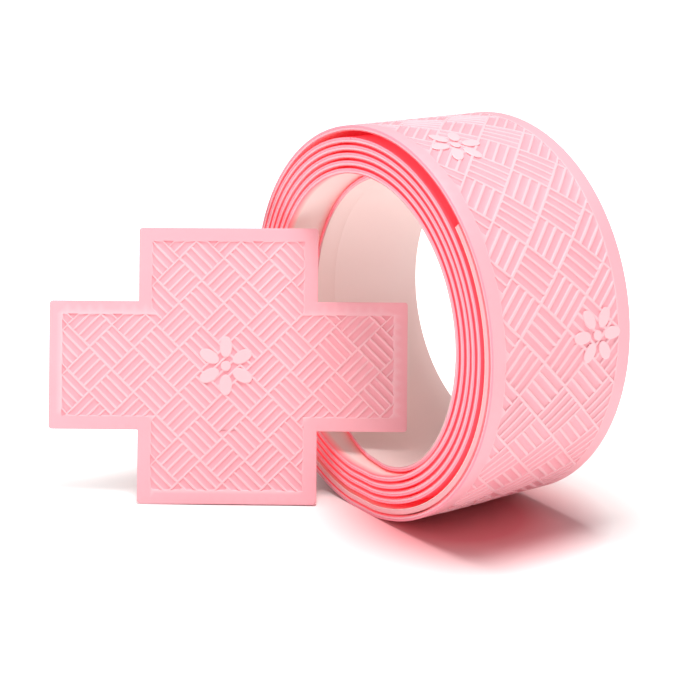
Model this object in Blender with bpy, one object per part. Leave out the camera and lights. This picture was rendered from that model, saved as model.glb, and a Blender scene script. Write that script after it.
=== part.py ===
"""A roll of cushioned grip tape standing on its edge, with a cross-shaped end patch leaning on it.

The tape is a laminate: an embossed skin, a foam backing, an adhesive film and a release liner that is
slit into two strips. It is wound about Y and rests on a small flat at Z = 0, whose centre is the
origin. A separate closing strip is stored under its last turn. The patch is the same laminate, with
four arms that fold back over the end of a shaft.
"""
import math

import bmesh
import bpy
from mathutils import Matrix, Vector

MM = 0.001
SKIN_GAP = 0.02 * MM            # between two layers of one laminate
CUT_GAP = 0.1 * MM              # between two strips, or two bodies of one sheet

# The laminate, as depths below its embossed face.
SKIN = (0.0, 0.34 * MM)
FOAM = (SKIN[1] + SKIN_GAP, 0.74 * MM)
ADHESIVE = (FOAM[1] + SKIN_GAP, 0.80 * MM)
LINER = (ADHESIVE[1] + SKIN_GAP, 0.88 * MM)
THICKNESS = LINER[1]

# The roll. Winding angles are in degrees from the inner end, and grow outwards along the tape.
STEP = 12.0                     # degrees of winding in one facet
TURN = 360.0
TAPE_WIDTH = 28.7 * MM
INNER_END = 60.0                # where the inner end lies, from +X towards +Z
START_RADIUS = 25.2 * MM        # outer face of the tape at its inner end
PITCH = 1.3 * MM                # growth of the radius in one turn
OVALITY = 1.03                  # a soft roll sags a little wider than it is tall
TAIL_ROOT = 2244.0
TAPE_END = 2304.0
TAPER_FULL = 108.0              # the start of the tape is cut narrower on its front edge
TAPER_END = 288.0
TAPER_DEPTH = 7.8 * MM
OVERHANG = 1.8 * MM             # and it stands out a little at the back
LINER_SLIT = 9.7 * MM           # from the front edge of the tape

# The closing strip, under the last turn, which it holds off the turn below.
STRIP_START = 1980.0
STRIP_END = 2136.0
LIFT = 1.75 * MM
LIFT_START = STRIP_START - 36.0
STRIP_DEPTH = 1.2 * MM          # below the embossed face of the last turn
STRIP_THICKNESS = 0.8 * MM
STRIP_LINER_THICKNESS = 0.12 * MM

# The end patch, in its own frame: X across, Y through to its back, Z up its face.
PATCH_WIDTH = 32.0 * MM         # of the centre, which covers the end of the shaft
PATCH_HEIGHT = 23.0 * MM
SIDE_ARM = 16.0 * MM
END_ARM = 13.1 * MM
CORNER = 0.6 * MM
LINER_INSET = 0.3 * MM
PATCH_FOOT = (-15.05 * MM, -33.0 * MM)
PATCH_HEADING = math.radians(54.3)
PATCH_LEAN = math.radians(16.8)
FOOT_CLEARANCE = 0.02 * MM

PINK = (0.98, 0.47, 0.55, 1.0)
PALE_PINK = (0.98, 0.60, 0.66, 1.0)
AMBER = (0.95, 0.85, 0.72, 1.0)
CREAM = (0.93, 0.86, 0.82, 1.0)


def clear_scene():
    for item in list(bpy.data.objects):
        bpy.data.objects.remove(item, do_unlink=True)


def new_collection(name):
    collection = bpy.data.collections.new(name)
    bpy.context.scene.collection.children.link(collection)
    return collection


def new_material(name, colour, roughness):
    material = bpy.data.materials.new(name)
    material.use_nodes = True
    shader = material.node_tree.nodes["Principled BSDF"]
    shader.inputs["Base Color"].default_value = colour
    shader.inputs["Roughness"].default_value = roughness
    shader.inputs["Metallic"].default_value = 0.0
    return material


def eased(value):
    """0 below 0, 1 above 1, and an S-curve between."""
    value = min(max(value, 0.0), 1.0)
    return value * value * (3.0 - 2.0 * value)


# ---- the winding -------------------------------------------------------------------------------

def face_radius(winding):
    """Radius of the embossed face at a winding angle, with the closing strip's lift."""
    rise = eased((winding - LIFT_START) / (STRIP_START - LIFT_START))
    fall = eased((winding - STRIP_END) / (TAIL_ROOT - STRIP_END))
    return START_RADIUS + PITCH * winding / TURN + LIFT * (rise - fall)


def nearest_bottom(winding):
    """The winding angle at which this turn passes its lowest point."""
    first = 270.0 - INNER_END
    return first + TURN * round((winding - first) / TURN)


BOTTOM = nearest_bottom(STRIP_START)
CENTRE_HEIGHT = face_radius(BOTTOM) * math.cos(math.radians(STEP / 2.0))


def wound(winding, depth, across):
    """The place of a point of the tape: along its length, below its face, and across its width."""
    angle = math.radians(INNER_END + winding)
    radius = face_radius(winding) - depth
    height = CENTRE_HEIGHT + radius * math.sin(angle)
    bottom = nearest_bottom(winding)
    if abs(winding - bottom) < 0.75 * STEP:
        flattened = (face_radius(bottom) - depth) * math.cos(math.radians(STEP / 2.0))
        height = CENTRE_HEIGHT - flattened
    return Vector((OVALITY * radius * math.cos(angle), across, height))


def front_edge(winding):
    taper = 1.0 - eased((winding - TAPER_FULL) / (TAPER_END - TAPER_FULL))
    return -TAPE_WIDTH / 2.0 + TAPER_DEPTH * taper


def overhang(winding):
    return OVERHANG * (1.0 - eased((winding - TAPER_FULL) / (TAPER_END - TAPER_FULL)))


def back_edge(winding):
    return TAPE_WIDTH / 2.0 + overhang(winding)


def slit_front(winding):
    return -TAPE_WIDTH / 2.0 + LINER_SLIT + overhang(winding) - CUT_GAP / 2.0


def slit_back(winding):
    return slit_front(winding) + CUT_GAP


def wound_strip(name, material, start, end, layer, front, back, parent=None):
    """A flat strip cut into equal lengths, thickened, and wound onto the spiral."""
    lengths = round((end - start) / STEP)
    shape = bmesh.new()
    bmesh.ops.create_grid(shape, x_segments=lengths, y_segments=1, size=0.5)
    raised = bmesh.ops.extrude_face_region(shape, geom=shape.faces[:])
    inner_face = [item for item in raised["geom"] if isinstance(item, bmesh.types.BMVert)]
    bmesh.ops.translate(shape, vec=(0.0, 0.0, 1.0), verts=inner_face)
    bmesh.ops.recalc_face_normals(shape, faces=shape.faces[:])
    for vert in shape.verts:
        winding = start + (end - start) * (vert.co.x + 0.5)
        depth = layer[1] if vert.co.z > 0.5 else layer[0]
        across = front(winding) if vert.co.y < 0.0 else back(winding)
        vert.co = wound(winding, depth, across)
    return finished(name, shape, material, parent)


# ---- objects -----------------------------------------------------------------------------------

def finished(name, shape, material, parent=None):
    """Turn a bmesh in world coordinates into an object, placed on its parent empty if it has one."""
    mesh = bpy.data.meshes.new(name)
    shape.to_mesh(mesh)
    shape.free()
    mesh.materials.append(material)
    item = bpy.data.objects.new(name, mesh)
    parts.objects.link(item)
    if parent:
        mesh.transform(parent.matrix_world.inverted())
        item.parent = parent
    return item


def empty(name, place, parent=None):
    """An empty on a joint's axis; its place is in world coordinates."""
    item = bpy.data.objects.new(name, None)
    parts.objects.link(item)
    item.empty_display_size = 0.01
    if parent:
        item.parent = parent
        item.matrix_local = parent.matrix_world.inverted() @ place
    else:
        item.matrix_world = place
    bpy.context.view_layer.update()
    return item


# ---- the roll ----------------------------------------------------------------------------------

def make_tape(prefix, start, end, parent=None):
    """The skin, foam and adhesive of one length of the tape."""
    for layer_name, layer, material in (("skin", SKIN, skin_material),
                                        ("foam", FOAM, foam_material),
                                        ("adhesive", ADHESIVE, adhesive_material)):
        name = prefix + "_" + layer_name
        wound_strip(name, material, start, end, layer, front_edge, back_edge, parent)


def make_liners(prefix, start, end, parent=None):
    """The two release liner strips, either side of the slit."""
    wound_strip(prefix + "_narrow", liner_material, start, end, LINER, front_edge, slit_front, parent)
    wound_strip(prefix + "_wide", liner_material, start, end, LINER, slit_back, back_edge, parent)


def make_roll():
    make_tape("tape", 0.0, TAIL_ROOT)
    make_liners("liner", 0.0, TAIL_ROOT)


def make_tail():
    """The free end of the tape, which lifts about a line on its face."""
    root = wound(TAIL_ROOT, 0.0, 0.0)
    axis = empty("tail_axis", Matrix.Translation(root))
    cut = math.degrees(CUT_GAP / face_radius(TAIL_ROOT))
    make_tape("tail", TAIL_ROOT + cut, TAPE_END, axis)
    make_liners("tail_liner", TAIL_ROOT + cut, TAPE_END, axis)


def make_closing_strip():
    inner = STRIP_DEPTH + STRIP_THICKNESS
    liner = (inner + SKIN_GAP, inner + SKIN_GAP + STRIP_LINER_THICKNESS)
    wound_strip("closing_strip", strip_material, STRIP_START, STRIP_END,
                (STRIP_DEPTH, inner), front_edge, back_edge)
    wound_strip("closing_strip_liner", liner_material, STRIP_START, STRIP_END,
                liner, front_edge, back_edge)


# ---- the patch ---------------------------------------------------------------------------------

def patch_place():
    """The patch's frame: the middle of its foot, turned and leaning back."""
    height = FOAM[1] * math.sin(PATCH_LEAN) + FOOT_CLEARANCE
    foot = Matrix.Translation((PATCH_FOOT[0], PATCH_FOOT[1], height))
    return foot @ Matrix.Rotation(PATCH_HEADING, 4, "Z") @ Matrix.Rotation(-PATCH_LEAN, 4, "X")


def slab(name, material, low, high, layer, outer_corners, inset, parent):
    """One layer of one panel of the patch: a box, with its free corners rounded."""
    shape = bmesh.new()
    bmesh.ops.create_cube(shape, size=1.0)
    low = Vector((low[0] + inset[0], layer[0], low[1] + inset[1]))
    high = Vector((high[0] - inset[2], layer[1], high[1] - inset[3]))
    for vert in shape.verts:
        vert.co = Vector([high[i] if vert.co[i] > 0.0 else low[i] for i in range(3)])
    rounded = []
    for edge in shape.edges:
        ends = [vert.co for vert in edge.verts]
        if abs(ends[0].y - ends[1].y) < layer[1] / 4.0 - layer[0] / 4.0:
            continue
        if (ends[0].x > low.x, ends[0].z > low.z) in outer_corners:
            rounded.append(edge)
    if rounded:
        bmesh.ops.bevel(shape, geom=rounded, offset=CORNER, segments=3, profile=0.5, affect="EDGES")
    bmesh.ops.transform(shape, matrix=patch_place(), verts=shape.verts[:])
    return finished(name, shape, material, parent)


def make_panel(name, low, high, outer_corners, free_sides, parent):
    """The four layers of one panel; the liner is set in a little from the free sides."""
    inset = [LINER_INSET if free else 0.0 for free in free_sides]
    none = (0.0, 0.0, 0.0, 0.0)
    slab(name + "_skin", skin_material, low, high, SKIN, outer_corners, none, parent)
    slab(name + "_foam", foam_material, low, high, FOAM, outer_corners, none, parent)
    slab(name + "_adhesive", adhesive_material, low, high, ADHESIVE, outer_corners, inset, parent)
    slab(name + "_liner", liner_material, low, high, LINER, outer_corners, inset, parent)


def make_patch():
    """The centre panel, and four arms that each fold about a line on the back."""
    half = PATCH_WIDTH / 2.0
    foot = END_ARM
    top = END_ARM + PATCH_HEIGHT
    gap = CUT_GAP / 2.0
    patch = empty("patch_frame", patch_place())

    def fold(name, x, z):
        return empty(name, patch_place() @ Matrix.Translation((x, THICKNESS, z)), patch)

    make_panel("patch_centre", (-half + gap, foot + gap), (half - gap, top - gap),
               (), (False, False, False, False), patch)
    make_panel("patch_left", (-half - SIDE_ARM, foot), (-half - gap, top),
               ((False, False), (False, True)), (True, True, False, True),
               fold("fold_left", -half, foot + PATCH_HEIGHT / 2.0))
    make_panel("patch_right", (half + gap, foot), (half + SIDE_ARM, top),
               ((True, False), (True, True)), (False, True, True, True),
               fold("fold_right", half, foot + PATCH_HEIGHT / 2.0))
    make_panel("patch_bottom", (-half, 0.0), (half, foot - gap),
               ((False, False), (True, False)), (True, True, True, False),
               fold("fold_bottom", 0.0, foot))
    make_panel("patch_top", (-half, top + gap), (half, top + END_ARM),
               ((False, True), (True, True)), (True, False, True, True),
               fold("fold_top", 0.0, top))


clear_scene()
parts = new_collection("grip_tape_roll")
skin_material = new_material("embossed_skin", PINK, 0.5)
foam_material = new_material("foam_backing", PALE_PINK, 0.8)
adhesive_material = new_material("adhesive_film", AMBER, 0.3)
liner_material = new_material("release_liner", CREAM, 0.45)
strip_material = new_material("closing_strip", PALE_PINK, 0.6)
make_roll()
make_tail()
make_closing_strip()
make_patch()
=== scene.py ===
# %% [markdown]
# # A roll of cushioned grip tape and its end patch
#
# Grip tape is a laminate: an embossed polyurethane skin, a thin foam, a film of glue and a release
# liner. It is sold as a roll, and this one comes with a cross-shaped patch of the same laminate,
# which covers the end of the shaft. The CAD frame gives the place and size of every layer. Here
# each layer is made again with its real surface; the pieces of the roll, the closing strip and the
# centre of the patch ride on the same bodies.

# %% Load the frame
import math

import bpy
from mathutils import Matrix, Vector, noise


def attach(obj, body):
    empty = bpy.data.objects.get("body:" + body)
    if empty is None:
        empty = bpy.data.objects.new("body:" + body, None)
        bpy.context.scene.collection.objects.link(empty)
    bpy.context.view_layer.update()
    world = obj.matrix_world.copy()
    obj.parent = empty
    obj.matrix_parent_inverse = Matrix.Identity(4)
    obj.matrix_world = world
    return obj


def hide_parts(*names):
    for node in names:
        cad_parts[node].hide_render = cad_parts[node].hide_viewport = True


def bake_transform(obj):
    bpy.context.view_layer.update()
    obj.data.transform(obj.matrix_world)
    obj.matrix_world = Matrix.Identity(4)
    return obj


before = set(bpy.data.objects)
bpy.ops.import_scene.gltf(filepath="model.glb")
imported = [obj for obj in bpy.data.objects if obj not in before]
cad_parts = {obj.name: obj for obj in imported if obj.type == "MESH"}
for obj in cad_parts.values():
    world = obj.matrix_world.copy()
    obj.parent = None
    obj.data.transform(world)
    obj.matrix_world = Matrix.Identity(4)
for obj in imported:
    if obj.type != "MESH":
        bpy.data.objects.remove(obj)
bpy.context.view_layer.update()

# %% [markdown]
# ## Sizes
#
# The sizes repeat those of the CAD model, so that each layer lies where its solid lies. Winding
# angles are in degrees from the inner end of the tape, and grow outwards. Depths are measured from
# the embossed face. The tape tapers at its inner end, and a closing strip is stored under its last
# turn.

# %% Sizes of the laminate, the roll and the patch
MM = 0.001
TURN = 360.0
SKIN = (0.0, 0.34 * MM)
FOAM = (0.36 * MM, 0.74 * MM)
ADHESIVE = (0.76 * MM, 0.80 * MM)
LINER = (0.82 * MM, 0.88 * MM)
THICKNESS = LINER[1]

TAPE_WIDTH = 28.7 * MM
INNER_END = 60.0
START_RADIUS = 25.2 * MM           # of the tape's face, at the inner end
PITCH = 1.3 * MM                   # from one turn to the next
OVALITY = 1.03                     # width over height of the soft roll
TAIL_ROOT = 2244.0
TAPE_END = 2304.0
TAPER_FULL = 108.0
TAPER_END = 288.0
TAPER_DEPTH = 7.8 * MM             # how much of the front edge the taper takes
OVERHANG = 1.8 * MM                # how far the inner end has slipped out at the back
LINER_SLIT = 9.7 * MM              # from the front edge

STRIP_START = 1980.0
STRIP_END = 2136.0
LIFT = 1.75 * MM                   # how far the closing strip holds the last turn off
LIFT_START = STRIP_START - 36.0
STRIP_BAND = (1.2 * MM, 2.0 * MM)
STRIP_FILM = (2.02 * MM, 2.14 * MM)
CAD_STEP = 12.0                    # the flats of the CAD spiral, in degrees

PATCH_WIDTH = 32.0 * MM
PATCH_HEIGHT = 23.0 * MM
SIDE_ARM = 16.0 * MM
END_ARM = 13.1 * MM
CORNER = 0.6 * MM
LINER_INSET = 0.3 * MM
PATCH_HEADING = math.radians(54.3)
PATCH_LEAN = math.radians(16.8)
PATCH_FOOT = (-15.05 * MM, -33.0 * MM, FOAM[1] * math.sin(PATCH_LEAN) + 0.02 * MM)
print(f"the tape is {TAPE_WIDTH / MM:.1f} mm wide and {THICKNESS / MM:.2f} mm thick")

# %% [markdown]
# ## The winding path
#
# The tape could be bent vertex by vertex with a formula. A Curve modifier does what the factory
# does instead: the strip is made flat, at its real length, and is then wound along a spiral line.
# The line is a curve with a point every degree and a half. It rises over the closing strip, and
# comes down again before the tail. The roll is soft, so each turn is a little flat where it rests.

# %% The spiral line
def eased(value):
    """0 below 0, 1 above 1, and an S-curve between."""
    value = min(max(value, 0.0), 1.0)
    return value * value * (3.0 - 2.0 * value)


def face_radius(winding):
    rise = eased((winding - LIFT_START) / (STRIP_START - LIFT_START))
    fall = eased((winding - STRIP_END) / (TAIL_ROOT - STRIP_END))
    return START_RADIUS + PITCH * winding / TURN + LIFT * (rise - fall)


def nearest_bottom(winding):
    first = 270.0 - INNER_END
    return first + TURN * round((winding - first) / TURN)


SAG = math.cos(math.radians(CAD_STEP / 2.0))
CENTRE_HEIGHT = face_radius(nearest_bottom(STRIP_START)) * SAG


def face_place(winding):
    """Where the tape's face is at a winding angle: X, and height."""
    angle = math.radians(INNER_END + winding)
    radius = face_radius(winding)
    height = CENTRE_HEIGHT + radius * math.sin(angle)
    bottom = nearest_bottom(winding)
    if abs(winding - bottom) < CAD_STEP:
        height = max(height, CENTRE_HEIGHT - face_radius(bottom) * SAG)
    return OVALITY * radius * math.cos(angle), height


PATH_STEP = 1.5
SPARE_POINTS = 3                   # so that the line reaches past the end of the tape
path_windings = [PATH_STEP * i for i in range(round(TAPE_END / PATH_STEP) + SPARE_POINTS)]
path_points = [face_place(winding) for winding in path_windings]
path_lengths = [0.0]
for before, after in zip(path_points, path_points[1:]):
    path_lengths.append(path_lengths[-1] + math.dist(before, after))


def length_at(winding):
    """How far along the tape a winding angle is."""
    place = winding / PATH_STEP
    i = min(int(place), len(path_lengths) - 2)
    return path_lengths[i] + (place - i) * (path_lengths[i + 1] - path_lengths[i])


path_data = bpy.data.curves.new("winding_path", "CURVE")
path_data.dimensions = "2D"
spiral = path_data.splines.new("POLY")
spiral.points.add(len(path_points) - 1)
for point, place in zip(spiral.points, path_points):
    point.co = (*place, 0.0, 1.0)
winding_path = bpy.data.objects.new("winding_path", path_data)
bpy.context.scene.collection.objects.link(winding_path)
winding_path.rotation_euler.x = math.radians(90.0)
print(f"the tape is {length_at(TAPE_END):.3f} m long")

# %% [markdown]
# ## Working by hand, in code
#
# Each piece starts as a primitive and is shaped in edit mode, where an operator acts on what is
# selected. These helpers select by a rule, and start, cut and finish a piece.

# %% Select by a rule
CHOICES = {"VERT": "vertices", "EDGE": "edges", "FACE": "polygons"}


def pick(piece):
    """Make one piece the only selected and active one."""
    bpy.ops.object.select_all(action="DESELECT")
    piece.select_set(True)
    bpy.context.view_layer.objects.active = piece


def choose(piece, kind, test):
    """Go into edit mode with only what passes the test selected."""
    pick(piece)
    bpy.ops.object.mode_set(mode="EDIT")
    bpy.ops.mesh.select_mode(type=kind)
    bpy.ops.mesh.select_all(action="DESELECT")
    bpy.ops.object.mode_set(mode="OBJECT")
    items = getattr(piece.data, CHOICES[kind])
    items.foreach_set("select", [bool(test(item)) for item in items])
    bpy.ops.object.mode_set(mode="EDIT")


def done_editing():
    bpy.ops.object.mode_set(mode="OBJECT")


def faces_up(face):
    return face.normal.z > 0.5


# %% Start a piece, copy it, and put a modifier to work
def start_piece(name):
    """Name the primitive that was just added, with its place applied."""
    piece = bpy.context.view_layer.objects.active
    piece.name = piece.data.name = name
    bpy.ops.object.transform_apply(location=True, rotation=True, scale=True)
    return piece


def apply_modifier(piece, kind, **settings):
    modifier = piece.modifiers.new(kind.lower(), kind)
    for key, value in settings.items():
        setattr(modifier, key, value)
    pick(piece)
    bpy.ops.object.modifier_apply(modifier=modifier.name)


def copy_of(piece, name):
    twin = piece.copy()
    twin.data = piece.data.copy()
    twin.name = twin.data.name = name
    bpy.context.scene.collection.objects.link(twin)
    return twin


# %% Shape a flat sheet
EXACT = 0.0005 * MM
SOFT_RIM = 0.10 * MM


def thicken(piece, thickness):
    """Give a flat sheet its thickness, downwards, and turn all its faces outwards."""
    choose(piece, "FACE", lambda face: True)
    bpy.ops.mesh.extrude_region_move(TRANSFORM_OT_translate={"value": (0.0, 0.0, -thickness)})
    bpy.ops.mesh.select_all(action="SELECT")
    bpy.ops.mesh.normals_make_consistent(inside=False)
    done_editing()


def soften_rim(piece):
    """Round the edge where the upper face of a flat sheet meets its sides."""
    facings = {}
    for face in piece.data.polygons:
        for key in face.edge_keys:
            facings.setdefault(key, []).append(face.normal.z)
    flat, upright = 0.9, 0.1
    choose(piece, "EDGE",
           lambda edge: max(facings[edge.key]) > flat and min(facings[edge.key]) < upright)
    bpy.ops.mesh.bevel(offset=SOFT_RIM, segments=2, profile=0.5)
    done_editing()


def trim(piece, place, normal, keep_both=False, fill=False, snap=0.0, where=lambda face: True):
    """Cut a piece with a plane, and take away what lies on the side of the normal.

    Points nearer to the plane than snap are moved onto it first, so that no sliver is left.
    """
    normal = Vector(normal)
    for vert in piece.data.vertices if snap else ():
        away = (vert.co - Vector(place)).dot(normal)
        if abs(away) < snap:
            vert.co -= away * normal
    choose(piece, "FACE", where)
    bpy.ops.mesh.bisect(plane_co=place, plane_no=normal, use_fill=fill, clear_outer=not keep_both,
                        threshold=EXACT)
    done_editing()


def cut_across(piece, axis, value, out, **how):
    """Trim a piece where X or Y has one value."""
    place, normal = [0.0, 0.0, 0.0], [0.0, 0.0, 0.0]
    place[axis], normal[axis] = value, out
    trim(piece, place, normal, **how)


# %% Smooth a piece, and wind it up
SMOOTH_BELOW = math.radians(35.0)


def smooth(piece):
    pick(piece)
    bpy.ops.object.shade_smooth_by_angle(angle=SMOOTH_BELOW)


def wind(piece):
    """Turn a flat piece face down, as it lies on the winding table, and wind it up."""
    pick(piece)
    piece.rotation_euler.x = math.pi
    bpy.ops.object.transform_apply(location=False, rotation=True, scale=False)
    apply_modifier(piece, "CURVE", object=winding_path, deform_axis="POS_X")
    smooth(piece)


# %% [markdown]
# ## The embossed weave
#
# The skin is pressed with a basket weave: squares set on their corners, each of four bars, and the
# bars of neighbouring squares cross. Every bar is a shallow pocket, with thin ridges between. A
# bump texture would be cheaper, but the pockets catch the light and show on the outline, so they
# are real. A sheet of small squares is turned by 45 degrees, the squares of each bar are split from
# their neighbours, and all the bars are inset and pressed down at once. Where the edge of the
# pattern cuts a bar, the rest of it is pressed too, unless it is too small for the walls.

# %% A sheet for the weave, and which bar a point lies in
BARS = 4
# The steps of a wall, each as its width and its drop.
WALLS = ((0.05 * MM, 0.03 * MM), (0.07 * MM, 0.12 * MM), (0.07 * MM, 0.04 * MM))
PRESSED = sum(drop for width, drop in WALLS)
WALL_WIDTH = sum(width for width, drop in WALLS)
SMALLEST = 0.25 * MM               # what has to be left of a bar's width inside its walls
CLOSE = 0.45                       # how much narrower walls and ridge are in the smallest bars
SNAP = 0.20 * MM                   # how near a cut points are moved onto it


def weave_sheet(name, bar, origin, low, high):
    """A flat sheet of squares as wide as a bar, set on their corners."""
    reach = sum(max(abs(low[i] - origin[i]), abs(high[i] - origin[i])) for i in (0, 1))
    squares = 2 * (math.ceil(reach / math.sqrt(2.0) / bar) + 1)
    bpy.ops.object.select_all(action="DESELECT")
    bpy.ops.mesh.primitive_grid_add(x_subdivisions=squares, y_subdivisions=squares,
                                    size=squares * bar, location=(*origin, 0.0),
                                    rotation=(0.0, 0.0, math.radians(45.0)))
    sheet = start_piece(name)
    for axis in (0, 1):
        cut_across(sheet, axis, low[axis], -1.0, snap=SNAP)
        cut_across(sheet, axis, high[axis], 1.0, snap=SNAP)
    return sheet


def bar_at(place, bar, origin):
    """Which square of the weave a point lies in, and which of its bars."""
    x, y = place.x - origin[0], place.y - origin[1]
    turned = ((x + y) / math.sqrt(2.0) / bar, (y - x) / math.sqrt(2.0) / bar)
    square = [math.floor(value / BARS + 0.5) for value in turned]
    across = turned[1] if sum(square) % 2 == 0 else turned[0]
    return square[0], square[1], math.floor(across)


# %% Find the bars, and which of them can be pressed
SHARPEST = math.radians(40.0)      # a bar with a sharper corner stays flat


def upper_bars(mesh, bar, origin, inside):
    """The bar under each face of the pattern, and what borders each edge."""
    area, owner = {}, {}
    for face in mesh.polygons:
        upper = faces_up(face) and inside(face.center)
        found = bar_at(face.center, bar, origin) if upper else None
        if upper:
            area[found] = area.get(found, 0.0) + face.area
        for key in face.edge_keys:
            owner.setdefault(key, []).append(found)
    return area, owner


def can_be_pressed(mesh, area, border, rim):
    """Whether a bar is wide enough, in one loop, and has no side that its rim would use up."""
    points = mesh.vertices
    length = sum((points[a].co - points[b].co).length for a, b in border)
    neighbours = {}
    for a, b in border:
        neighbours.setdefault(a, []).append(b)
        neighbours.setdefault(b, []).append(a)
    used_up = {}
    for corner, ends in neighbours.items():
        sides = [points[end].co - points[corner].co for end in ends]
        if len(ends) != 2 or sides[0].angle(sides[1]) < SHARPEST:
            return False
        used_up[corner] = rim * math.cos(sides[0].angle(sides[1]) / 2.0)
    if any((points[a].co - points[b].co).length < used_up[a] + used_up[b] for a, b in border):
        return False
    return 2.0 * area / length - rim > SMALLEST


# %% Press the bars
WHOLE_BAR = 0.97                   # share of a bar's area from which it counts as whole
WELD = 0.002 * MM


def press_faces(piece, ridge, even, close, test):
    """Leave a ridge, then step the walls down, for every chosen bar at once."""
    choose(piece, "FACE", test)
    for width, drop in ((ridge, 0.0), *WALLS):
        bpy.ops.mesh.inset(thickness=close * width, depth=-drop, use_boundary=True,
                           use_even_offset=even)
    done_editing()


def press_weave(piece, bar, ridge, origin, inside):
    """Press a pocket into every bar of the upper face that is in the pattern and wide enough."""
    mesh = piece.data
    area, owner = upper_bars(mesh, bar, origin, inside)
    borders = {}
    for key, sides in owner.items():
        for side in set(sides) - {None} if sides[0] != sides[-1] else ():
            borders.setdefault(side, []).append(key)
    whole = {found for found in area if area[found] > WHOLE_BAR * BARS * bar * bar}
    rim = ridge + WALL_WIDTH
    cut = {found for found in set(area) - whole
           if can_be_pressed(mesh, area[found], borders[found], rim)}
    small = {found for found in set(area) - whole - cut
             if can_be_pressed(mesh, area[found], borders[found], CLOSE * rim)}
    pressed = whole | cut | small

    def split_here(edge):
        sides = owner[edge.key]
        return sides[0] != sides[-1] and (sides[0] in pressed or sides[-1] in pressed)

    choose(piece, "EDGE", split_here)
    bpy.ops.mesh.edge_split(type="EDGE")
    done_editing()
    for bars, even, close in ((whole, True, 1.0), (cut, False, 1.0), (small, False, CLOSE)):
        press_faces(piece, ridge, even, close,
                    lambda face: faces_up(face) and inside(face.center)
                    and bar_at(face.center, bar, origin) in bars)
    choose(piece, "FACE", lambda face: True)
    bpy.ops.mesh.remove_doubles(threshold=WELD)
    done_editing()
    mark_relief(piece, inside)
    strays = sum(abs(vert.co.z) > THICKNESS for vert in mesh.vertices)
    print(f"{piece.name}: {len(pressed)} bars of {len(area)} pressed, {len(whole)} of them whole, "
          f"{len(mesh.polygons)} faces, {strays} strays")


# %% Keep on the mesh what the colour depends on
MARGIN_HIGHLIGHT_SHARE = 0.25                  # the margins are as high as the ridges, but take less of the painted highlight


def mark_relief(piece, inside):
    """Keep how high each point of the face is, 0 in a pocket and 1 on a ridge, less on the margins:
    the mask of the painted ridge highlight.
    """
    relief = piece.data.attributes.new("relief", "FLOAT", "POINT")
    heights = [min(max(1.0 + vert.co.z / PRESSED, 0.0), 1.0)
               * (1.0 if inside(vert.co) else MARGIN_HIGHLIGHT_SHARE) for vert in piece.data.vertices]
    relief.data.foreach_set("value", heights)


def mark_faces(piece, kept_name, test):
    """Keep, as 1 or 0, which faces pass a test."""
    kept = piece.data.attributes.new(kept_name, "FLOAT", "FACE")
    kept.data.foreach_set("value", [float(test(face)) for face in piece.data.polygons])


# %% [markdown]
# ## The outer turn's skin
#
# Only the last turn and a quarter of the tape's face can ever be seen, with the tail lifted too, so
# the weave is pressed there. The rest of the skin is wound up inside, and stays plain. The pressed
# length is made whole and then cut square where the tail begins, so the weave runs on across the
# cut. It is wound up only when the rosettes are ready to go with it.

# %% The pressed length of tape, flat on the bench, face up
TAPE_BAR = 1.68 * MM
TAPE_RIDGE = 0.17 * MM             # half the width of a ridge, between two pockets
TAPE_DIAGONAL = TAPE_BAR * BARS * math.sqrt(2.0)
MARGIN = 2.4 * MM
PRESS_START = 1836.0
ALWAYS_HIDDEN = 1880.0             # up to here the last turn covers the skin
TAIL_SEAM = 2212.0
WEAVE_PLACE = (1116.35 * MM, 3.85 * MM)

tape_low = (length_at(PRESS_START), -TAPE_WIDTH / 2.0)
tape_high = (length_at(TAPE_END), TAPE_WIDTH / 2.0)
tape_middle = (tape_low[0] + tape_high[0]) / 2.0
steps_back = round((WEAVE_PLACE[0] - tape_middle) / TAPE_DIAGONAL)
tape_origin = (WEAVE_PLACE[0] - steps_back * TAPE_DIAGONAL, WEAVE_PLACE[1])
outer_skin = weave_sheet("tape_skin_outer", TAPE_BAR, tape_origin, tape_low, tape_high)
pattern_edge = TAPE_WIDTH / 2.0 - MARGIN
for side in (-1.0, 1.0):
    cut_across(outer_skin, 1, side * pattern_edge, side, keep_both=True, snap=SNAP)
thicken(outer_skin, SKIN[1])
soften_rim(outer_skin)
press_weave(outer_skin, TAPE_BAR, TAPE_RIDGE, tape_origin,
            lambda place: abs(place.y) < pattern_edge)

# %% Mark its edges, and cut off the tail
mark_faces(outer_skin, "cut_edge", lambda face: abs(face.center.y) > TAPE_WIDTH / 2.0 - SOFT_RIM)
# The skin under the last turn shows only in the gaps at the rim; it gets painted shade and a
# painted glow.
mark_faces(outer_skin, "hidden", lambda face: face.center.x < length_at(ALWAYS_HIDDEN))
tail_skin = copy_of(outer_skin, "tape_skin_tail")
seam = length_at(TAIL_SEAM)
cut_across(outer_skin, 0, seam, 1.0, fill=True)
cut_across(tail_skin, 0, seam, -1.0, fill=True)
print(f"the tail is {(length_at(TAPE_END) - seam) / MM:.1f} mm long")

# %% [markdown]
# ## The rosettes
#
# A small mark stands on the skin at regular steps. It is a six-petal rosette around a dot. Each
# petal is a flat ellipse with a soft edge, a little higher than the ridges, and its foot goes down
# to the floor of the pockets. One rosette is modelled and the others are its copies.

# %% A petal
PETALS = 6
ROSETTE_RADIUS = 4.9 * MM
PETAL_LENGTH = 3.5 * MM
PETAL_WIDTH = 2.1 * MM
PETAL_SIDES = 20
DOT_RADIUS = 0.85 * MM
DOT_SIDES = 14
MARK_HEIGHT = 0.10 * MM
MARK_FOOT = -0.24 * MM
SOFT_EDGE = 0.10 * MM


def on_outline(place, length, width, centre, turn):
    local = Matrix.Rotation(-turn, 3, "Z") @ place
    return math.hypot((local.x - centre) / length, local.y / width) > 0.49


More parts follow.
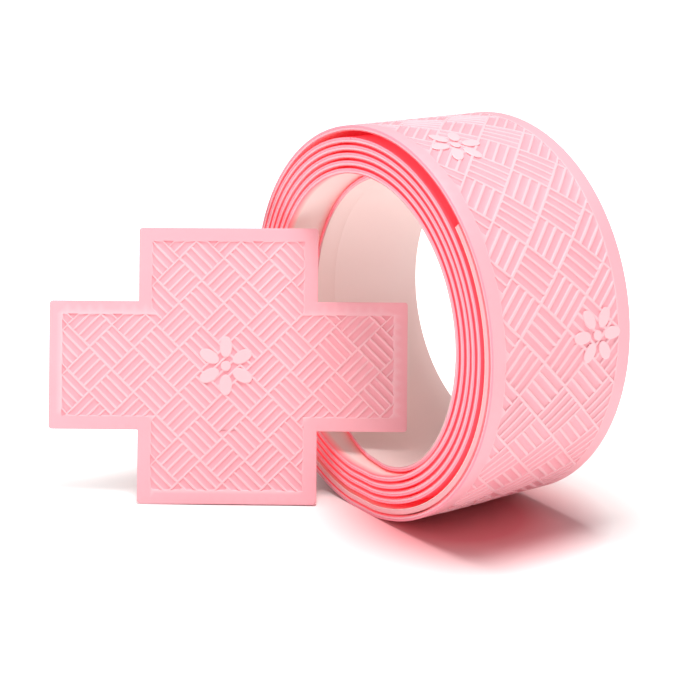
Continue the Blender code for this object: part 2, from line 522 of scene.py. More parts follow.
def flat_oval(name, length, width, centre, turn, sides):
    """A low oval block with a soft upper edge."""
    bpy.ops.object.select_all(action="DESELECT")
    bpy.ops.mesh.primitive_circle_add(vertices=sides, radius=0.5, fill_type="TRIFAN")
    oval = start_piece(name)
    place = (Matrix.Rotation(turn, 4, "Z") @ Matrix.Translation((centre, 0.0, MARK_HEIGHT))
             @ Matrix.Diagonal((length, width, 1.0, 1.0)))
    oval.data.transform(place)
    thicken(oval, MARK_HEIGHT - MARK_FOOT)
    choose(oval, "FACE", faces_up)
    bpy.ops.mesh.inset(thickness=SOFT_EDGE, depth=0.0)
    bpy.ops.mesh.inset(thickness=SOFT_EDGE, depth=0.0)
    done_editing()
    for vert in oval.data.vertices:
        if vert.co.z > 0.0 and on_outline(vert.co, length, width, centre, turn):
            vert.co.z -= 0.5 * SOFT_EDGE
    return oval


# %% One rosette, at the middle of the bench
def make_rosette(name):
    """Six petals and a dot, in one piece."""
    centre = ROSETTE_RADIUS - PETAL_LENGTH / 2.0
    petals = [flat_oval(f"{name}_{i}", PETAL_LENGTH, PETAL_WIDTH, centre,
                        math.radians(90.0) + math.tau * i / PETALS, PETAL_SIDES)
              for i in range(PETALS)]
    petals.append(flat_oval(name, 2.0 * DOT_RADIUS, 2.0 * DOT_RADIUS, 0.0, 0.0, DOT_SIDES))
    bpy.ops.object.select_all(action="DESELECT")
    for petal in petals:
        petal.select_set(True)
    bpy.context.view_layer.objects.active = petals[-1]
    bpy.ops.object.join()
    petals[-1].name = name
    return petals[-1]


rosette = make_rosette("patch_rosette")
print("a rosette has", len(rosette.data.polygons), "faces")

# %% Lay the rosettes along the tape
ROSETTE_STEP = 38.4 * MM
FIRST_ROSETTE = (1124.3 * MM, 5.2 * MM)
OTHER_SIDE = -7.2 * MM


def tape_rosettes():
    """Every rosette from the pressed length's start to its end, alternating across the tape."""
    found = []
    first = math.ceil((tape_low[0] + ROSETTE_RADIUS - FIRST_ROSETTE[0]) / ROSETTE_STEP)
    last = math.floor((tape_high[0] - ROSETTE_RADIUS - FIRST_ROSETTE[0]) / ROSETTE_STEP)
    for i in range(first, last + 1):
        along = FIRST_ROSETTE[0] + i * ROSETTE_STEP
        across = FIRST_ROSETTE[1] if i % 2 == 0 else OTHER_SIDE
        mark = copy_of(rosette, f"tape_rosette_{i - first}")
        mark.data.transform(Matrix.Translation((along, across, 0.0)))
        found.append((mark, along))
    return found


tape_marks = tape_rosettes()
for mark, along in tape_marks:
    wind(mark)
wind(outer_skin)
wind(tail_skin)
print(len(tape_marks), "rosettes on the tape")

# %% [markdown]
# ## The plain layers
#
# Foam, glue and liner are long thin strips. Each is a grid with one column every three degrees,
# thickened and wound. Real tape is die-cut and wound by machine, and neither is perfect: the edge
# of the foam is a little ragged, and the turns wander sideways by a tenth of a millimetre. Both are
# a smooth noise along the length, which keeps the layers together. The liner is slit along its
# length, and its two strips curl a little at the slit.

# %% The edges of the tape
WANDER = 0.16 * MM
WANDER_LENGTH = 150.0              # in degrees, as is the next
RAGGED_LENGTH = 2.3
WANDER_SEED = 3.7
TORN = 6.0                         # how much more ragged the cut is at the taper


def wander(winding):
    return WANDER * noise.noise(Vector((winding / WANDER_LENGTH, WANDER_SEED, 0.0)))


def taper(winding):
    """1 at the inner end, where the tape was cut slanting, and 0 where it has its full width."""
    return 1.0 - eased((winding - TAPER_FULL) / (TAPER_END - TAPER_FULL))


def front_edge(winding):
    return -TAPE_WIDTH / 2.0 + TAPER_DEPTH * taper(winding)


def overhang(winding):
    return OVERHANG * taper(winding)


def back_edge(winding):
    return TAPE_WIDTH / 2.0 + overhang(winding)


def slit(winding):
    """Where the liner is slit."""
    return -TAPE_WIDTH / 2.0 + LINER_SLIT + overhang(winding)


def ragged(edge, amount, seed):
    """The same edge, cut less cleanly, and less cleanly still where the tape tapers."""
    def cut_edge(winding):
        rough = amount * (1.0 + TORN * taper(winding))
        return edge(winding) + rough * noise.noise(Vector((winding / RAGGED_LENGTH, seed, 0.0)))
    return cut_edge


# %% A plain strip
COLUMN = 3.0
EDGE_ROUND = 0.05 * MM
CURL_POWER = 8                     # the curl keeps to the last of the width
BORE_TURN = 378.0                  # inside this angle the liner faces the open bore
RIM_BAND = 0.5 * MM


def mark_rim(strip):
    """Keep, as 1 or 0, which points lie between two turns at the rim, where the liner gets painted
    shade and a painted glow.
    """
    kept = strip.data.attributes.new("hidden", "FLOAT", "POINT")
    kept.data.foreach_set("value", [float(abs(vert.co.y) > TAPE_WIDTH / 2.0 - RIM_BAND
                                          and vert.co.x > length_at(BORE_TURN))
                                    for vert in strip.data.vertices])


def plain_strip(name, start, end, layer, front, back, rows=1, rounded=True, curl=0.0,
                column=COLUMN):
    """One layer between two winding angles, wound up.

    A curl above 0 bends the back edge away from the glue, and one below 0 bends the front edge.
    """
    bpy.ops.object.select_all(action="DESELECT")
    columns = max(1, math.ceil((end - start) / column))
    bpy.ops.mesh.primitive_grid_add(x_subdivisions=columns, y_subdivisions=rows, size=1.0)
    strip = start_piece(name)
    thicken(strip, 1.0)
    for vert in strip.data.vertices:
        winding = start + (end - start) * (vert.co.x + 0.5)
        share = 0.5 - vert.co.y
        across = front(winding) + share * (back(winding) - front(winding)) + wander(winding)
        depth = layer[0] if vert.co.z > -0.5 else layer[1]
        if curl > 0.0:
            depth += curl * share ** CURL_POWER
        elif curl < 0.0:
            depth -= curl * (1.0 - share) ** CURL_POWER
        vert.co = (length_at(winding), -across, -depth)
    if rows > 1:
        mark_rim(strip)
    if rounded:
        apply_modifier(strip, "BEVEL", width=EDGE_ROUND, segments=2, limit_method="ANGLE",
                       angle_limit=math.radians(60.0))
    wind(strip)
    return strip


# %% The edges of each layer
FOAM_CUT = 0.05 * MM
GLUE_INSET = 0.15 * MM
SLIT_CURL = 0.10 * MM
SLIT_SEEN = 0.015 * MM             # the slit has nearly closed again

foam_front = ragged(front_edge, FOAM_CUT, 1.0)
foam_back = ragged(back_edge, FOAM_CUT, 2.0)


def shifted(edge, by):
    return lambda winding: edge(winding) + by


glue_front, glue_back = shifted(front_edge, GLUE_INSET), shifted(back_edge, -GLUE_INSET)
slit_front, slit_back = shifted(slit, -SLIT_SEEN / 2.0), shifted(slit, SLIT_SEEN / 2.0)
print("the foam's edge is ragged by up to", FOAM_CUT * (1.0 + TORN) / MM, "mm")

# %% Skin, foam, glue and liner of the whole tape
inner_skin = plain_strip("tape_skin_inner", 0.0, PRESS_START, SKIN, front_edge, back_edge)
mark_faces(inner_skin, "cut_edge", lambda face: abs(face.normal.y) > 0.5)


def tape_layers(ending, start, end, column):
    """Foam, glue and the two liners, from one winding angle to another."""
    return {
        "foam": plain_strip("tape_foam_" + ending, start, end, FOAM, foam_front, foam_back,
                            column=column),
        "glue": plain_strip("tape_glue_" + ending, start, end, ADHESIVE, glue_front, glue_back,
                            rounded=False, column=column),
        "narrow": plain_strip("liner_narrow_" + ending, start, end, LINER, front_edge, slit_front,
                              rows=6, rounded=False, curl=SLIT_CURL, column=column),
        "wide": plain_strip("liner_wide_" + ending, start, end, LINER, slit_back, back_edge,
                            rows=6, rounded=False, curl=-SLIT_CURL, column=column),
    }


turns = tape_layers("turns", 0.0, TAIL_SEAM, COLUMN)
tail = tape_layers("tail", TAIL_SEAM, TAPE_END, COLUMN / 2.0)
for piece in (*turns.values(), *tail.values()):
    print(piece.name, len(piece.data.polygons), "faces")

# %% The closing strip, under the last turn
STRIP_SEEN_END = STRIP_END + 5.0   # its end shows a little past the end of its CAD solid
closing_band = plain_strip("closing_band", STRIP_START, STRIP_SEEN_END, STRIP_BAND, front_edge,
                           back_edge)
closing_film = plain_strip("closing_film", STRIP_START, STRIP_SEEN_END, STRIP_FILM, front_edge,
                           back_edge, rounded=False)
print(f"the closing strip covers {STRIP_SEEN_END - STRIP_START:.0f} degrees of the roll")

# %% [markdown]
# ## The patch
#
# The patch is a cross, cut from the same laminate with a finer weave. It is made flat, as one
# pressed sheet, and then cut along the four lines where its arms fold, into five panels. It is
# stood up and leant on the roll at the very end, when all its layers are made.

# %% The outline of the cross
HALF = PATCH_WIDTH / 2.0
FOOT_LINE = END_ARM
TOP_LINE = END_ARM + PATCH_HEIGHT
PATCH_TOP = TOP_LINE + END_ARM
PATCH_BAR = 1.414 * MM
PATCH_RIDGE = 0.12 * MM
PATCH_ORIGIN = (-0.75 * MM, 23.8 * MM)
PATCH_MARGIN = 2.3 * MM
CLOSE_BY = 0.01 * MM
BEND_CUTS = (0.6 * MM, 1.4 * MM, 2.2 * MM, 3.0 * MM, 3.9 * MM)
PANELS = {
    "centre": ((-HALF, FOOT_LINE), (HALF, TOP_LINE)),
    "left": ((-HALF - SIDE_ARM, FOOT_LINE), (-HALF, TOP_LINE)),
    "right": ((HALF, FOOT_LINE), (HALF + SIDE_ARM, TOP_LINE)),
    "bottom": ((-HALF, 0.0), (HALF, FOOT_LINE)),
    "top": ((-HALF, TOP_LINE), (HALF, PATCH_TOP)),
}
OUTWARD = {"left": (-1.0, 0.0), "right": (1.0, 0.0), "bottom": (0.0, -1.0), "top": (0.0, 1.0)}


def fold_place(panel):
    """The middle of the line where an arm folds."""
    x, y = OUTWARD[panel]
    return Vector((x * HALF, FOOT_LINE if y < 0.0 else TOP_LINE, 0.0))


def in_cross(place, margin=0.0):
    upright = abs(place.x) < HALF - margin and margin < place.y < PATCH_TOP - margin
    level = (abs(place.x) < HALF + SIDE_ARM - margin
             and FOOT_LINE + margin < place.y < TOP_LINE - margin)
    return upright or level


print(f"the patch is {2.0 * (HALF + SIDE_ARM) / MM:.1f} by {PATCH_TOP / MM:.1f} mm")

# %% Cutting a sheet only along the outline of the cross
def snap_to(piece, axis, line, band):
    """Move points that nearly lie on a line onto it, outside a band across it."""
    for vert in piece.data.vertices:
        if abs(vert.co[axis] - line) < SNAP and not band[0] < vert.co[1 - axis] < band[1]:
            vert.co[axis] = line


def reaches_past(piece, axis, low_line, high_line):
    """A test for faces with a corner outside a band."""
    points = piece.data.vertices
    return lambda face: any(not low_line < points[i].co[axis] < high_line for i in face.vertices)


def cut_lines(piece, places, axis, band, margin):
    """Cut a sheet along lines that bound the cross, only where they bound it."""
    other = 1 - axis
    for place in places:
        if margin:
            def where(face):
                return not band[0] < face.center[other] < band[1]
        else:
            where = reaches_past(piece, other, *band)
        cut_across(piece, axis, place, 1.0, keep_both=True, where=where)


# %% The sheet of the patch, cut to the outline of the cross and of its pattern
CUT_WELD = 0.09 * MM               # points that the cuts left closer than this become one

patch_skin = weave_sheet("patch_skin", PATCH_BAR, PATCH_ORIGIN, (-HALF - SIDE_ARM, 0.0),
                         (HALF + SIDE_ARM, PATCH_TOP))
for margin in (0.0, PATCH_MARGIN):
    inner_x = (-HALF + margin, HALF - margin)
    inner_z = (FOOT_LINE + margin, TOP_LINE - margin)
    for x in inner_x:
        snap_to(patch_skin, 0, x, inner_z)
    for z in inner_z:
        snap_to(patch_skin, 1, z, inner_x)
    cut_lines(patch_skin, inner_x, 0, inner_z, margin)
    cut_lines(patch_skin, inner_z, 1, inner_x, margin)
side_ends = HALF + SIDE_ARM - PATCH_MARGIN
for axis, places in ((0, (-side_ends, side_ends)), (1, (PATCH_MARGIN, PATCH_TOP - PATCH_MARGIN))):
    for place in places:
        cut_across(patch_skin, axis, place, 1.0, keep_both=True, snap=SNAP)
choose(patch_skin, "FACE", lambda face: not in_cross(face.center))
bpy.ops.mesh.delete(type="FACE")
done_editing()
choose(patch_skin, "VERT", lambda vert: in_cross(vert.co, PATCH_MARGIN - CLOSE_BY))
bpy.ops.mesh.remove_doubles(threshold=CUT_WELD)
done_editing()
thicken(patch_skin, SKIN[1])
print("the cross has", len(patch_skin.data.polygons), "faces before it is pressed")

# %% Round its corners and press it
def round_corners(piece, corners):
    """Round the upright edges that stand at the given corners."""
    points = piece.data.vertices

    def at_corner(edge):
        ends = [points[i].co for i in edge.vertices]
        return any(all(math.hypot(end.x - x, end.y - y) < CLOSE_BY for end in ends)
                   for x, y in corners)

    choose(piece, "EDGE", at_corner)
    bpy.ops.mesh.bevel(offset=CORNER, segments=4, profile=0.5)
    done_editing()


free_corners = [(x, z) for x in (-HALF, HALF) for z in (0.0, PATCH_TOP)]
free_corners += [(x, z) for x in (-HALF - SIDE_ARM, HALF + SIDE_ARM) for z in (FOOT_LINE, TOP_LINE)]
round_corners(patch_skin, free_corners)
soften_rim(patch_skin)
press_weave(patch_skin, PATCH_BAR, PATCH_RIDGE, PATCH_ORIGIN,
            lambda place: in_cross(place, PATCH_MARGIN))

# %% Cut the skin into its five panels
SEAM_GAP = 0.002 * MM


def cut_panel(piece, panel):
    """Trim a copy of the whole skin to one panel of the cross, just past its fold lines.

    The cut never lies in the plane of the cross's own sides, so each cut face is one clean outline.
    """
    if panel == "centre":
        for z, out in ((FOOT_LINE, -1.0), (TOP_LINE, 1.0)):
            cut_across(piece, 1, z - out * SEAM_GAP, out, fill=True)
        for out in (-1.0, 1.0):
            cut_across(piece, 0, out * (HALF - SEAM_GAP), out, fill=True)
    else:
        out = Vector((*OUTWARD[panel], 0.0))
        trim(piece, fold_place(panel) + out * SEAM_GAP, -out, fill=True)


def cut_bends(piece, panel):
    """Add edges across an arm near its fold."""
    if panel == "centre":
        return
    out = Vector((*OUTWARD[panel], 0.0))
    for cut in BEND_CUTS:
        trim(piece, fold_place(panel) + out * cut, out, keep_both=True)


patch_pieces = {}
for panel in PANELS:
    panel_skin = copy_of(patch_skin, f"patch_{panel}_face")
    cut_panel(panel_skin, panel)
    cut_bends(panel_skin, panel)
    patch_pieces[panel, "skin"] = panel_skin
    print(panel_skin.name, len(panel_skin.data.polygons), "faces")
bpy.data.objects.remove(patch_skin)

# %% Foam, glue and liner of the patch
# Which sides of a panel are free edges, as left, bottom, right and top.
FREE_SIDES = {"left": (1, 1, 0, 1), "right": (0, 1, 1, 1), "bottom": (1, 1, 1, 0),
              "top": (1, 0, 1, 1), "centre": (0, 0, 0, 0)}


def panel_layer(name, panel, layer, inset):
    """One plain layer of one panel, with fine columns where it bends."""
    low, high = PANELS[panel]
    free = FREE_SIDES[panel]
    low = (low[0] + inset * free[0], low[1] + inset * free[1])
    high = (high[0] - inset * free[2], high[1] - inset * free[3])
    bpy.ops.object.select_all(action="DESELECT")
    bpy.ops.mesh.primitive_plane_add(size=1.0)
    slab = start_piece(name)
    for vert in slab.data.vertices:
        vert.co = ((low if vert.co.x < 0.0 else high)[0], (low if vert.co.y < 0.0 else high)[1],
                   -layer[0])
    cut_bends(slab, panel)
    thicken(slab, layer[1] - layer[0])
    corners = [(x, y) for x, x_free in ((low[0], free[0]), (high[0], free[2]))
               for y, y_free in ((low[1], free[1]), (high[1], free[3])) if x_free and y_free]
    if corners:
        round_corners(slab, corners)
    return slab


PLAIN_LAYERS = (("foam", "cushion", FOAM, 0.0), ("adhesive", "glue", ADHESIVE, LINER_INSET),
                ("liner", "backing", LINER, LINER_INSET))
for panel in PANELS:
    for layer, ending, depths, inset in PLAIN_LAYERS:
        patch_pieces[panel, layer] = panel_layer(f"patch_{panel}_{ending}", panel, depths, inset)
print(len(patch_pieces), "pieces in the patch")

# %% Stand the patch up
PATCH_ROSETTE = (-0.3 * MM, 24.6 * MM, 0.0)
PATCH_ROSETTE_SCALE = 1.08

rosette.data.transform(Matrix.Translation(PATCH_ROSETTE) @ Matrix.Scale(PATCH_ROSETTE_SCALE, 4))
stand = (Matrix.Translation(PATCH_FOOT) @ Matrix.Rotation(PATCH_HEADING, 4, "Z")
         @ Matrix.Rotation(-PATCH_LEAN, 4, "X") @ Matrix.Rotation(math.radians(90.0), 4, "X"))
for piece in [*patch_pieces.values(), rosette]:
    piece.data.transform(stand)
    smooth(piece)
bpy.data.objects.remove(winding_path)
print("the patch stands at", [round(v / MM, 1) for v in stand.translation], "mm")

# %% [markdown]
# ## Finishes
#
# Everything is one family of pinks. The skin is a satin polyurethane with a very fine grain, and
# its ridges carry a painted highlight, paler than its pockets. The foam is matt and porous, the
# glue is a clear film and the liner is a smooth siliconised paper. The gaps between turns are
# painted a deeper red, for the shade and the red bounce in them, and have a faint painted glow, as
# has the closing strip. The grain is one group, which every material uses with its own scale and
# strength.

# %% The grain group
def grain_group():
    """Fine grain: a height for bump, and a slow variation of tone, from two noises."""
    group = bpy.data.node_groups.new("grain", "ShaderNodeTree")
    for name, direction in (("Grain Scale", "INPUT"), ("Tone Scale", "INPUT"),
                            ("Height", "OUTPUT"), ("Tone", "OUTPUT")):
        group.interface.new_socket(name=name, in_out=direction, socket_type="NodeSocketFloat")
    nodes, links = group.nodes, group.links
    inputs = nodes.new("NodeGroupInput")
    outputs = nodes.new("NodeGroupOutput")
    place = nodes.new("ShaderNodeTexCoord")
    fine = nodes.new("ShaderNodeTexNoise")
    fine.inputs["Detail"].default_value = 3.0
    slow = nodes.new("ShaderNodeTexNoise")
    slow.inputs["Detail"].default_value = 2.0
    for texture, scale in ((fine, "Grain Scale"), (slow, "Tone Scale")):
        links.new(place.outputs["Object"], texture.inputs["Vector"])
        links.new(inputs.outputs[scale], texture.inputs["Scale"])
    links.new(fine.outputs["Fac"], outputs.inputs["Height"])
    links.new(slow.outputs["Fac"], outputs.inputs["Tone"])
    return group


grain = grain_group()

# %% A material with grain
def new_material(name, deep, pale, roughness, grain_scale, tone_scale, bump, coat=0.0):
    """A Principled finish whose colour drifts between two tones, with a fine grain."""
    material = bpy.data.materials.new(name)
    material.use_nodes = True
    nodes, links = material.node_tree.nodes, material.node_tree.links
    shader = nodes["Principled BSDF"]
    shader.inputs["Roughness"].default_value = roughness
    shader.inputs["Coat Weight"].default_value = coat
    texture = nodes.new("ShaderNodeGroup")
    texture.node_tree = grain
    texture.inputs["Grain Scale"].default_value = grain_scale
    texture.inputs["Tone Scale"].default_value = tone_scale
    mix = nodes.new("ShaderNodeMix")
    mix.data_type = "RGBA"
    mix.inputs["A"].default_value = (*deep, 1.0)
    mix.inputs["B"].default_value = (*pale, 1.0)
    links.new(texture.outputs["Tone"], mix.inputs["Factor"])
    links.new(mix.outputs["Result"], shader.inputs["Base Color"])
    relief = nodes.new("ShaderNodeBump")
    relief.inputs["Strength"].default_value = bump
    relief.inputs["Distance"].default_value = 0.05 * MM
    links.new(texture.outputs["Height"], relief.inputs["Height"])
    links.new(relief.outputs["Normal"], shader.inputs["Normal"])
    return material


# %% Tints and glows that follow what is kept on the mesh
def tint_by(material, kept_name, colour, share):
    """Mix a colour in over what the material has, by a value kept on the mesh."""
    nodes, links = material.node_tree.nodes, material.node_tree.links
    base = nodes["Principled BSDF"].inputs["Base Color"]
    before = base.links[0].from_socket
    kept = nodes.new("ShaderNodeAttribute")
    kept.attribute_name = kept_name
    amount = nodes.new("ShaderNodeMath")
    amount.operation = "MULTIPLY"
    amount.inputs[1].default_value = share
    links.new(kept.outputs["Fac"], amount.inputs[0])
    mix = nodes.new("ShaderNodeMix")
    mix.data_type = "RGBA"
    mix.inputs["B"].default_value = (*colour, 1.0)
    links.new(amount.outputs["Value"], mix.inputs["Factor"])
    links.new(before, mix.inputs["A"])
    links.new(mix.outputs["Result"], base)


def painted_glow_by(material, kept_name, colour, strength):
    """Add a painted glow, by a value kept on the mesh."""
    nodes, links = material.node_tree.nodes, material.node_tree.links
    kept = nodes.new("ShaderNodeAttribute")
    kept.attribute_name = kept_name
    mix = nodes.new("ShaderNodeMix")
    mix.data_type = "RGBA"
    mix.inputs["A"].default_value = (0.0, 0.0, 0.0, 1.0)
    mix.inputs["B"].default_value = (*colour, 1.0)
    links.new(kept.outputs["Fac"], mix.inputs["Factor"])
    shader = nodes["Principled BSDF"]
    links.new(mix.outputs["Result"], shader.inputs["Emission Color"])
    shader.inputs["Emission Strength"].default_value = strength


def steady_painted_glow(material, colour, strength):
    """Add the same painted glow to all of the material."""
    shader = material.node_tree.nodes["Principled BSDF"]
    shader.inputs["Emission Color"].default_value = (*colour, 1.0)
    shader.inputs["Emission Strength"].default_value = strength


# %% The finishes
# Painted glows, for the light bounced about in the gaps between turns and in the closing strip.
PAINTED_GAP_GLOW = (1.0, 0.03, 0.05)
PAINTED_STRIP_GLOW = (1.0, 0.20, 0.24)
# Painted shade: the deep red of the gaps between turns.
PAINTED_GAP_RED = (0.95, 0.13, 0.19)
CUT_PINK = (0.95, 0.33, 0.41)
# A painted highlight, for the light on the ridges.
PAINTED_RIDGE_HIGHLIGHT = (0.97, 0.60, 0.64)

# The numbers are roughness, the scales of grain and tone, and the strength of the bump.
skin_finish = new_material("pink_skin", (0.90, 0.36, 0.42), (0.94, 0.42, 0.475), 0.5,
                           5200.0, 90.0, 0.35)
# A painted highlight on the ridges, by their height.
tint_by(skin_finish, "relief", PAINTED_RIDGE_HIGHLIGHT, 0.65)
# Painted shade and a painted glow on the skin under the last turn, seen only in the gaps.
tint_by(skin_finish, "hidden", PAINTED_GAP_RED, 1.0)
painted_glow_by(skin_finish, "hidden", PAINTED_GAP_GLOW, 0.30)
tint_by(skin_finish, "cut_edge", CUT_PINK, 1.0)
# The plain inner skin shows only in the gaps at the rim, so its deep red is painted shade and red
# bounce, with a painted glow.
gap_shaded_skin_finish = new_material("pink_skin_plain_painted_gap_red", (0.94, 0.10, 0.14), (0.96, 0.14, 0.19), 0.5,
                                 5200.0, 90.0, 0.35)
tint_by(gap_shaded_skin_finish, "cut_edge", CUT_PINK, 1.0)
steady_painted_glow(gap_shaded_skin_finish, PAINTED_GAP_GLOW, 0.35)
mark_finish = new_material("pale_mark", (0.93, 0.52, 0.56), (0.95, 0.57, 0.61), 0.42,
                           5200.0, 90.0, 0.2)
foam_finish = new_material("pink_foam", (0.95, 0.44, 0.51), (0.97, 0.55, 0.61), 0.85,
                           2600.0, 400.0, 0.8)
glue_finish = new_material("clear_glue", (0.90, 0.45, 0.42), (0.92, 0.50, 0.47), 0.25,
                           900.0, 60.0, 0.1)
liner_finish = new_material("liner_paper", (0.93, 0.71, 0.68), (0.95, 0.77, 0.73), 0.45,
                            1500.0, 70.0, 0.15, coat=0.15)
# Painted shade and a painted glow on the liner between turns at the rim.
tint_by(liner_finish, "hidden", PAINTED_GAP_RED, 0.85)
painted_glow_by(liner_finish, "hidden", PAINTED_GAP_GLOW, 0.35)
strip_finish = new_material("closing_pink", (0.80, 0.40, 0.43), (0.84, 0.46, 0.48), 0.6,
                            3000.0, 150.0, 0.3)
# A painted glow on the closing strip.
steady_painted_glow(strip_finish, PAINTED_STRIP_GLOW, 0.10)
print([material.name for material in bpy.data.materials])

# %% [markdown]
# ## Putting it together
#
# Each piece takes its finish and stands for its CAD solid. The pieces of the roll, the closing
# strip and the centre of the patch ride on their bodies; the tail and the arms of the patch are
# baked in place and ride on none.

# %% Finish, place and ride
FINISHES = {
    "skin": (skin_finish, "embossed_skin"), "plain_skin": (gap_shaded_skin_finish, "embossed_skin"),
    "mark": (mark_finish, "embossed_skin"), "foam": (foam_finish, "foam_backing"),
    "glue": (glue_finish, "adhesive_film"), "adhesive": (glue_finish, "adhesive_film"),
    "liner": (liner_finish, "release_liner"), "narrow": (liner_finish, "release_liner"),
    "wide": (liner_finish, "release_liner"), "band": (strip_finish, "closing_strip"),
}


def dress(piece, finish):
    material, slot = FINISHES[finish]
    piece.data.materials.clear()
    piece.data.materials.append(material)


def settle(piece, finish, body, *nodes):
    dress(piece, finish)
    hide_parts(*nodes)
    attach(piece, body)


def roll_place(winding):
    x, height = face_place(winding)
    return x, 0.0, height


def settle_tail(piece, finish, body, *nodes):
    dress(piece, finish)
    if nodes:
        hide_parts(*nodes)
    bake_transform(piece)


# %% The roll, the closing strip and the tail
settle(outer_skin, "skin", "roll", "tape_skin")
settle(inner_skin, "plain_skin", "roll", "tape_skin")
settle(turns["foam"], "foam", "roll", "tape_foam")
settle(turns["glue"], "glue", "roll", "tape_adhesive")
settle(turns["narrow"], "narrow", "roll", "liner_narrow")
settle(turns["wide"], "wide", "roll", "liner_wide")
settle(closing_band, "band", "closing_strip", "closing_strip")
settle(closing_film, "liner", "closing_strip", "closing_strip_liner")
settle_tail(tail_skin, "skin", "tail", "tail_skin")
settle_tail(tail["foam"], "foam", "tail", "tail_foam")
settle_tail(tail["glue"], "glue", "tail", "tail_adhesive")
settle_tail(tail["narrow"], "narrow", "tail_liner", "tail_liner_narrow")
settle_tail(tail["wide"], "wide", "tail_liner", "tail_liner_wide")
for mark, along in tape_marks:
    if along - ROSETTE_RADIUS > length_at(TAIL_SEAM):
        settle_tail(mark, "mark", "tail")
    else:
        dress(mark, "mark")
        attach(mark, "roll")
print("the tail bends from", [round(v / MM, 1) for v in roll_place(TAIL_ROOT)], "mm")

# %% The patch: its centre rides on its body
for (panel, layer), piece in patch_pieces.items():
    dress(piece, layer)
    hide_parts(f"patch_{panel}_{layer}")
    if panel == "centre":
        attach(piece, "patch_centre")
        continue
    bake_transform(piece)
dress(rosette, "mark")
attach(rosette, "patch_centre")

# %% [markdown]
# ## The studio
#
# A white floor and a white surround, with a big soft light overhead and a faint one at the left, in
# front of the patch. Around the roll the floor is painted pink, a painted pink shadow for light
# bounced from the tape. Further out the floor has a painted glow that grows with the distance and
# washes out the shadows there, so it merges with the surround, and only the shadow under the roll
# shows.

# %% Floor
FLOOR_SIZE = 4.0
FLOOR_WHITE = (0.95, 0.93, 0.92, 1.0)
# A painted pink shadow around the roll, and a painted glow on the floor further out.
FLOOR_PAINTED_SHADOW_PINK = (0.88, 0.30, 0.33, 1.0)
# A centre, and the distances from it where the change starts and ends.
PAINTED_SHADOW_TINT = ((0.012, -0.002, 0.0), 0.011, 0.027)
PAINTED_FLOOR_GLOW = ((0.0, 0.0, 0.0), 0.040, 0.080)
PAINTED_FLOOR_GLOW_STRENGTH = 0.85

bpy.ops.object.select_all(action="DESELECT")
bpy.ops.mesh.primitive_plane_add(size=FLOOR_SIZE)
floor = start_piece("floor")
floor_finish = bpy.data.materials.new("white_floor")
floor_finish.use_nodes = True
floor.data.materials.append(floor_finish)
floor_nodes, floor_links = floor_finish.node_tree.nodes, floor_finish.node_tree.links
floor_shader = floor_nodes["Principled BSDF"]
floor_shader.inputs["Roughness"].default_value = 0.7
floor_shader.inputs["Emission Color"].default_value = (1.0, 1.0, 1.0, 1.0)


def growing_with_distance(centre, near, far, top):
    """A value that is 0 up to one distance from a centre and grows to its top at another."""
    place = floor_nodes.new("ShaderNodeTexCoord")
    distance = floor_nodes.new("ShaderNodeVectorMath")
    distance.operation = "DISTANCE"
    distance.inputs[1].default_value = centre
    ramp = floor_nodes.new("ShaderNodeMapRange")
    ramp.inputs["From Min"].default_value = near
    ramp.inputs["From Max"].default_value = far
    ramp.inputs["To Max"].default_value = top
    floor_links.new(place.outputs["Object"], distance.inputs[0])
    floor_links.new(distance.outputs["Value"], ramp.inputs["Value"])
    return ramp.outputs["Result"]


# A painted pink shadow on the floor around the roll.
painted_shadow_mix = floor_nodes.new("ShaderNodeMix")
painted_shadow_mix.data_type = "RGBA"
painted_shadow_mix.inputs["A"].default_value = FLOOR_PAINTED_SHADOW_PINK
painted_shadow_mix.inputs["B"].default_value = FLOOR_WHITE
floor_links.new(growing_with_distance(*PAINTED_SHADOW_TINT, 1.0), painted_shadow_mix.inputs["Factor"])
floor_links.new(painted_shadow_mix.outputs["Result"], floor_shader.inputs["Base Color"])
# A painted glow on the floor, growing away from the roll, which washes out the shadows there.
floor_links.new(growing_with_distance(*PAINTED_FLOOR_GLOW, PAINTED_FLOOR_GLOW_STRENGTH),
                floor_shader.inputs["Emission Strength"])
print("the floor has", len(floor_nodes), "nodes")

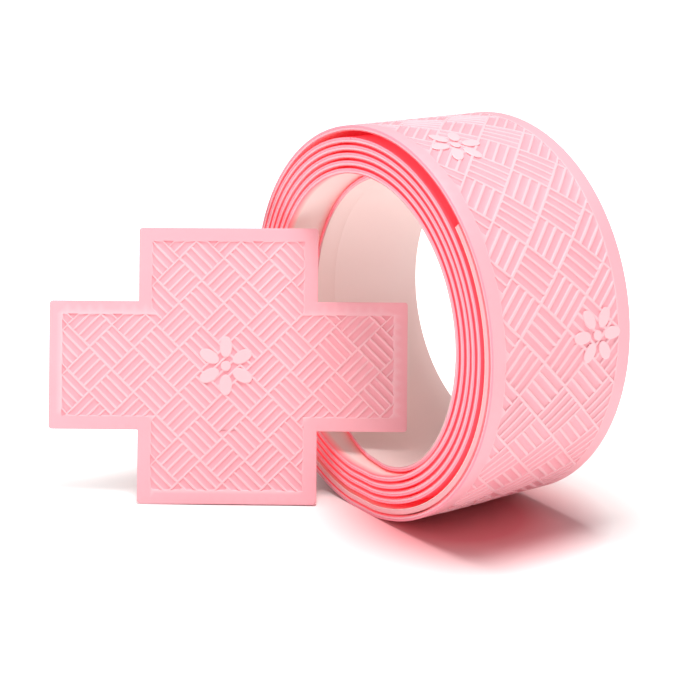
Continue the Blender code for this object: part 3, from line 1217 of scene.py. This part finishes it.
# %% Surround
AMBIENT = 0.33                     # what the surround lights with
BACKGROUND = 1.1                   # what it looks like
world = bpy.data.worlds.new("surround")
bpy.context.scene.world = world
world.use_nodes = True
sky = world.node_tree.nodes["Background"]
sky.inputs["Color"].default_value = (1.0, 1.0, 1.0, 1.0)
rays = world.node_tree.nodes.new("ShaderNodeLightPath")
level = world.node_tree.nodes.new("ShaderNodeMapRange")
level.inputs["To Min"].default_value = AMBIENT
level.inputs["To Max"].default_value = BACKGROUND
world.node_tree.links.new(rays.outputs["Is Camera Ray"], level.inputs["Value"])
world.node_tree.links.new(level.outputs["Result"], sky.inputs["Strength"])

# %% Lights
def soft_light(name, place, target, size, power):
    data = bpy.data.lights.new(name, "AREA")
    data.shape = "SQUARE"
    data.size = size
    data.energy = power
    light = bpy.data.objects.new(name, data)
    bpy.context.scene.collection.objects.link(light)
    light.location = place
    light.rotation_mode = "QUATERNION"
    light.rotation_quaternion = (Vector(target) - Vector(place)).to_track_quat("-Z", "Y")
    print(f"{name}: {power:.2f} W")


ROLL_MIDDLE = (0.0, 0.0, 0.034)
PATCH_MIDDLE = (-0.015, -0.033, 0.025)
soft_light("overhead", (0.08, -0.03, 0.49), ROLL_MIDDLE, 0.17, 2.25)
soft_light("left_side", (-0.069, -0.238, 0.145), PATCH_MIDDLE, 0.16, 0.10)
bpy.context.scene.view_settings.view_transform = "Standard"

# %% Camera
CAMERA_TARGET = Vector((-2.04 * MM, -17.36 * MM, 31.18 * MM))
CAMERA_FORWARD = Vector((-0.8285, 0.5600, 0.0)).normalized()
CAMERA_DOWN = math.radians(15.854)
CAMERA_DISTANCE = 283.0 * MM
LENS, SENSOR = 87.32, 36.0         # both in millimetres
camera_data = bpy.data.cameras.new("camera")
camera_data.lens = LENS
camera_data.sensor_width = SENSOR
camera_data.clip_start = 0.01
camera = bpy.data.objects.new("camera", camera_data)
bpy.context.scene.collection.objects.link(camera)
view = CAMERA_FORWARD * math.cos(CAMERA_DOWN) - Vector((0.0, 0.0, math.sin(CAMERA_DOWN)))
camera.location = CAMERA_TARGET - view * CAMERA_DISTANCE
camera.rotation_mode = "QUATERNION"
camera.rotation_quaternion = view.to_track_quat("-Z", "Y")
bpy.context.scene.camera = camera
print("the camera is at", [round(v, 3) for v in camera.location], "m")
